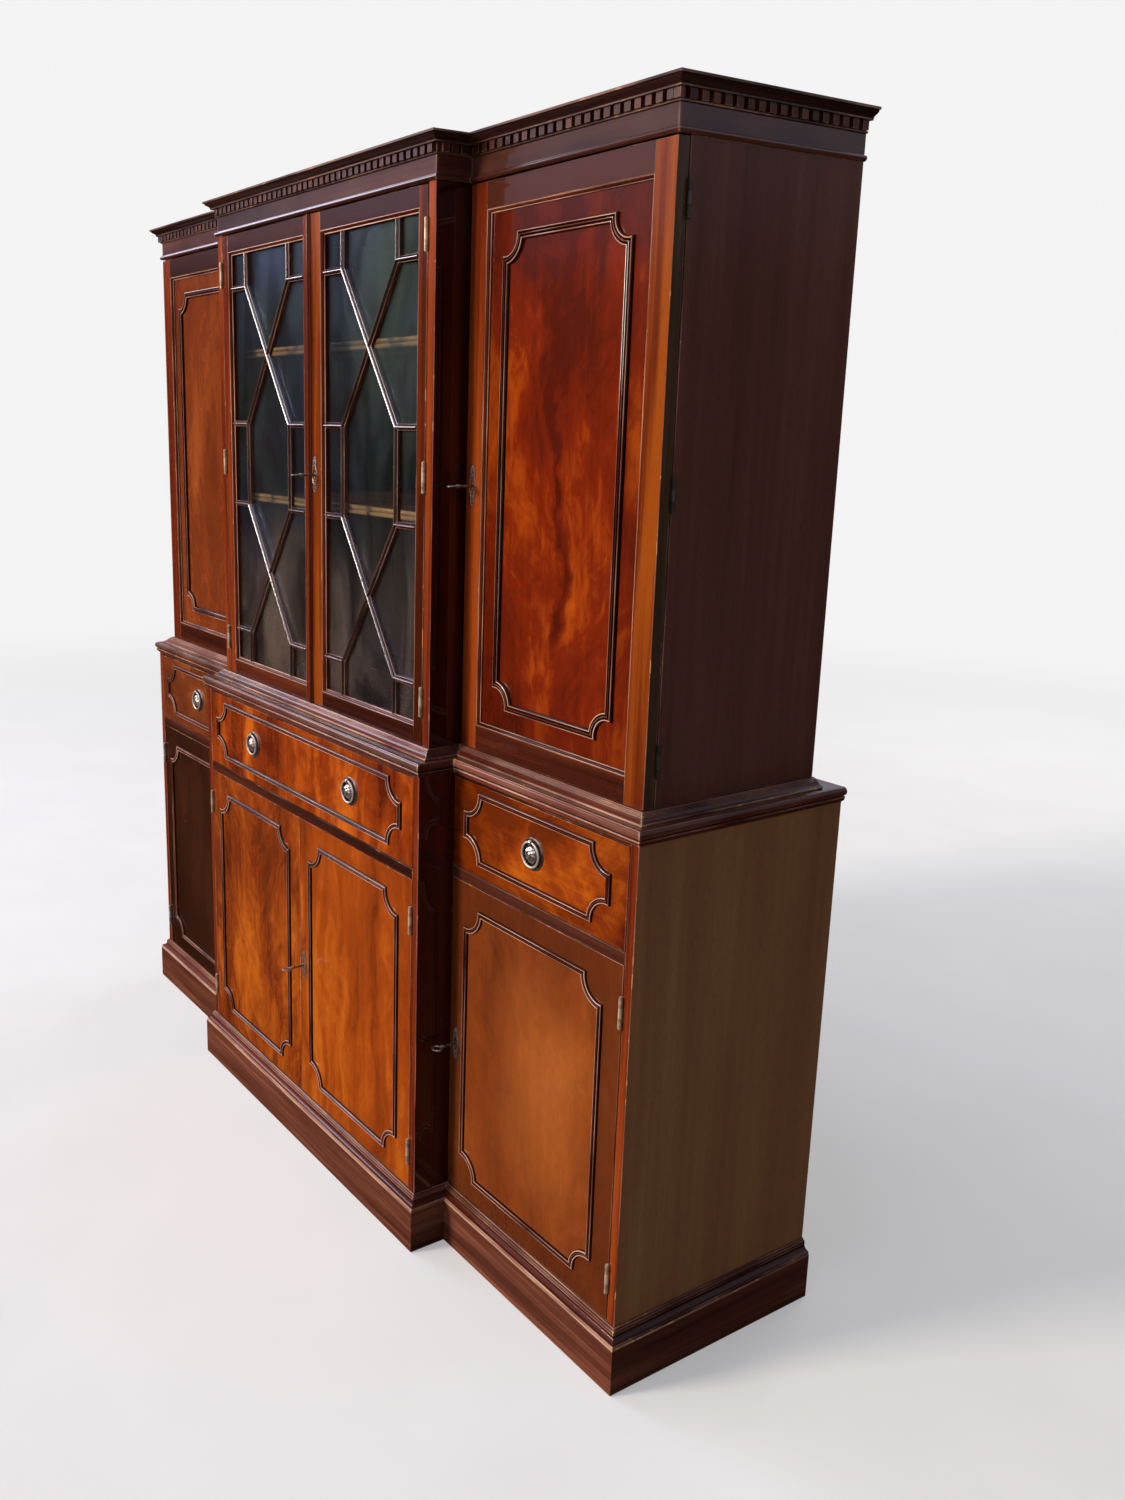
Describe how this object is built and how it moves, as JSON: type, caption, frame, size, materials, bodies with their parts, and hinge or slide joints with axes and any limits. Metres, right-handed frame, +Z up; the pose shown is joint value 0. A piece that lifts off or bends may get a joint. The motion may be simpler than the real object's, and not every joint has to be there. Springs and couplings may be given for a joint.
{
  "type": "secretary bookcase",
  "caption": "Breakfront mahogany secretary bookcase: glazed and panelled upper doors over drawers with ring pulls, a fall-front writing drawer and locking cupboards.",
  "frame": {"origin": "on the floor, below the centre of the bounding box", "axes": "+X to the user's right as they face the front, -Y out of the front towards the user, +Z up"},
  "size_m": [1.936, 0.595, 2.05],
  "materials": {
    "flame_mahogany": "gloss lacquer",
    "dark_mahogany": "gloss lacquer",
    "shelf_wood": "satin",
    "carcass_wood": "plain",
    "brass": "aged",
    "key_metal": "dark, worn",
    "glass": "clear"
  },
  "bodies": {
    "root": {"plinth": "dark_mahogany", "base_moulding": "dark_mahogany", "lower_uprights": "dark_mahogany", "lower_floor": "shelf_wood", "lower_back": "carcass_wood", "drawer_rails": "carcass_wood", "lower_top": "dark_mahogany", "waist_moulding": "dark_mahogany", "upper_base_moulding": "dark_mahogany", "upper_uprights": "dark_mahogany", "shelf_pegs": "brass", "upper_boards": "dark_mahogany", "upper_back": "carcass_wood", "shelves": "shelf_wood", "frieze": "dark_mahogany", "dentils": "dark_mahogany", "cornice": "dark_mahogany", "case_hinge_leaves": "brass"},
    "upper_right_door": {"upper_right_door_frame": "flame_mahogany", "upper_right_door_panel": "flame_mahogany", "upper_right_door_brass": "brass"},
    "upper_right_key": {"upper_right_door_key": "key_metal"},
    "upper_left_door": {"upper_left_door_frame": "flame_mahogany", "upper_left_door_panel": "flame_mahogany", "upper_left_door_brass": "brass"},
    "upper_left_key": {"upper_left_door_key": "key_metal"},
    "glazed_right_door": {"glazed_right_door_frame": "flame_mahogany", "glazed_right_door_bars": "flame_mahogany", "glazed_right_door_glass": "glass", "glazed_right_door_brass": "brass"},
    "glazed_right_key": {"glazed_right_door_key": "key_metal"},
    "glazed_left_door": {"glazed_left_door_frame": "flame_mahogany", "glazed_left_door_bars": "flame_mahogany", "glazed_left_door_glass": "glass", "glazed_left_door_brass": "brass"},
    "lower_right_door": {"lower_right_door": "flame_mahogany", "lower_right_door_brass": "brass"},
    "lower_right_key": {"lower_right_door_key": "key_metal"},
    "lower_left_door": {"lower_left_door": "flame_mahogany", "lower_left_door_brass": "brass"},
    "lower_left_key": {"lower_left_door_key": "key_metal"},
    "lower_centre_right_door": {"lower_centre_right_door": "flame_mahogany", "lower_centre_right_door_brass": "brass"},
    "lower_centre_left_door": {"lower_centre_left_door": "flame_mahogany", "lower_centre_left_door_brass": "brass"},
    "lower_centre_key": {"lower_centre_right_door_key": "key_metal"},
    "right_drawer": {"right_drawer_front": "flame_mahogany", "right_drawer_box": "carcass_wood", "right_drawer_pull_plate": "brass"},
    "right_drawer_ring": {"right_drawer_ring": "brass"},
    "left_drawer": {"left_drawer_front": "flame_mahogany", "left_drawer_box": "carcass_wood", "left_drawer_pull_plate": "brass"},
    "left_drawer_ring": {"left_drawer_ring": "brass"},
    "secretaire_drawer": {"secretaire_drawer_box": "carcass_wood", "secretaire_pigeonholes": "shelf_wood"},
    "secretaire_fall": {"secretaire_fall_front": "flame_mahogany", "secretaire_fall_brass": "brass"},
    "secretaire_right_ring": {"secretaire_right_ring": "brass"},
    "secretaire_left_ring": {"secretaire_left_ring": "brass"}
  },
  "joints": [
    {"name": "upper_right_door_swing", "type": "hinge", "parent": "root", "child": "upper_right_door", "pos_m": [0.9238, -0.1093, 1.487], "axis": [0, 0, 1], "range_deg": [0, 170]},
    {"name": "upper_right_key_turn", "type": "hinge", "parent": "upper_right_door", "child": "upper_right_key", "pos_m": [0.4554, -0.1325, 1.474], "axis": [0, 1, 0], "range_deg": [-90, 90]},
    {"name": "upper_left_door_swing", "type": "hinge", "parent": "root", "child": "upper_left_door", "pos_m": [-0.9238, -0.1093, 1.487], "axis": [0, 0, -1], "range_deg": [0, 170]},
    {"name": "upper_left_key_turn", "type": "hinge", "parent": "upper_left_door", "child": "upper_left_key", "pos_m": [-0.4554, -0.1325, 1.474], "axis": [0, 1, 0], "range_deg": [-90, 90]},
    {"name": "glazed_right_door_swing", "type": "hinge", "parent": "root", "child": "glazed_right_door", "pos_m": [0.4088, -0.2073, 1.487], "axis": [0, 0, 1], "range_deg": [0, 170]},
    {"name": "glazed_right_key_turn", "type": "hinge", "parent": "glazed_right_door", "child": "glazed_right_key", "pos_m": [0.009, -0.2035, 1.476], "axis": [0, 1, 0], "range_deg": [-90, 90]},
    {"name": "glazed_left_door_swing", "type": "hinge", "parent": "root", "child": "glazed_left_door", "pos_m": [-0.4088, -0.2073, 1.487], "axis": [0, 0, -1], "range_deg": [0, 170]},
    {"name": "lower_right_door_swing", "type": "hinge", "parent": "root", "child": "lower_right_door", "pos_m": [0.9308, -0.1683, 0.436], "axis": [0, 0, 1], "range_deg": [0, 170]},
    {"name": "lower_right_key_turn", "type": "hinge", "parent": "lower_right_door", "child": "lower_right_key", "pos_m": [0.4826, -0.1645, 0.424], "axis": [0, 1, 0], "range_deg": [-90, 90]},
    {"name": "lower_left_door_swing", "type": "hinge", "parent": "root", "child": "lower_left_door", "pos_m": [-0.9308, -0.1683, 0.436], "axis": [0, 0, -1], "range_deg": [0, 170]},
    {"name": "lower_left_key_turn", "type": "hinge", "parent": "lower_left_door", "child": "lower_left_key", "pos_m": [-0.4826, -0.1645, 0.424], "axis": [0, 1, 0], "range_deg": [-90, 90]},
    {"name": "lower_centre_right_door_swing", "type": "hinge", "parent": "root", "child": "lower_centre_right_door", "pos_m": [0.4408, -0.2463, 0.436], "axis": [0, 0, 1], "range_deg": [0, 170]},
    {"name": "lower_centre_left_door_swing", "type": "hinge", "parent": "root", "child": "lower_centre_left_door", "pos_m": [-0.4408, -0.2463, 0.436], "axis": [0, 0, -1], "range_deg": [0, 170]},
    {"name": "lower_centre_key_turn", "type": "hinge", "parent": "lower_centre_right_door", "child": "lower_centre_key", "pos_m": [0.019, -0.2425, 0.424], "axis": [0, 1, 0], "range_deg": [-90, 90]},
    {"name": "right_drawer_slide", "type": "slide", "parent": "root", "child": "right_drawer", "axis": [0, -1, 0], "range_m": [0, 0.3]},
    {"name": "right_drawer_ring_lift", "type": "hinge", "parent": "right_drawer", "child": "right_drawer_ring", "pos_m": [0.696, -0.1709, 0.891], "axis": [-1, 0, 0], "range_deg": [0, 100]},
    {"name": "left_drawer_slide", "type": "slide", "parent": "root", "child": "left_drawer", "axis": [0, -1, 0], "range_m": [0, 0.3]},
    {"name": "left_drawer_ring_lift", "type": "hinge", "parent": "left_drawer", "child": "left_drawer_ring", "pos_m": [-0.696, -0.1709, 0.891], "axis": [-1, 0, 0], "range_deg": [0, 100]},
    {"name": "secretaire_drawer_slide", "type": "slide", "parent": "root", "child": "secretaire_drawer", "axis": [0, -1, 0], "range_m": [0, 0.3]},
    {"name": "secretaire_fall_drop", "type": "hinge", "parent": "secretaire_drawer", "child": "secretaire_fall", "pos_m": [0, -0.2375, 0.794], "axis": [1, 0, 0], "range_deg": [0, 90]},
    {"name": "secretaire_right_ring_lift", "type": "hinge", "parent": "secretaire_fall", "child": "secretaire_right_ring", "pos_m": [0.214, -0.2489, 0.891], "axis": [-1, 0, 0], "range_deg": [0, 100]},
    {"name": "secretaire_left_ring_lift", "type": "hinge", "parent": "secretaire_fall", "child": "secretaire_left_ring", "pos_m": [-0.214, -0.2489, 0.891], "axis": [-1, 0, 0], "range_deg": [0, 100]}
  ]
}
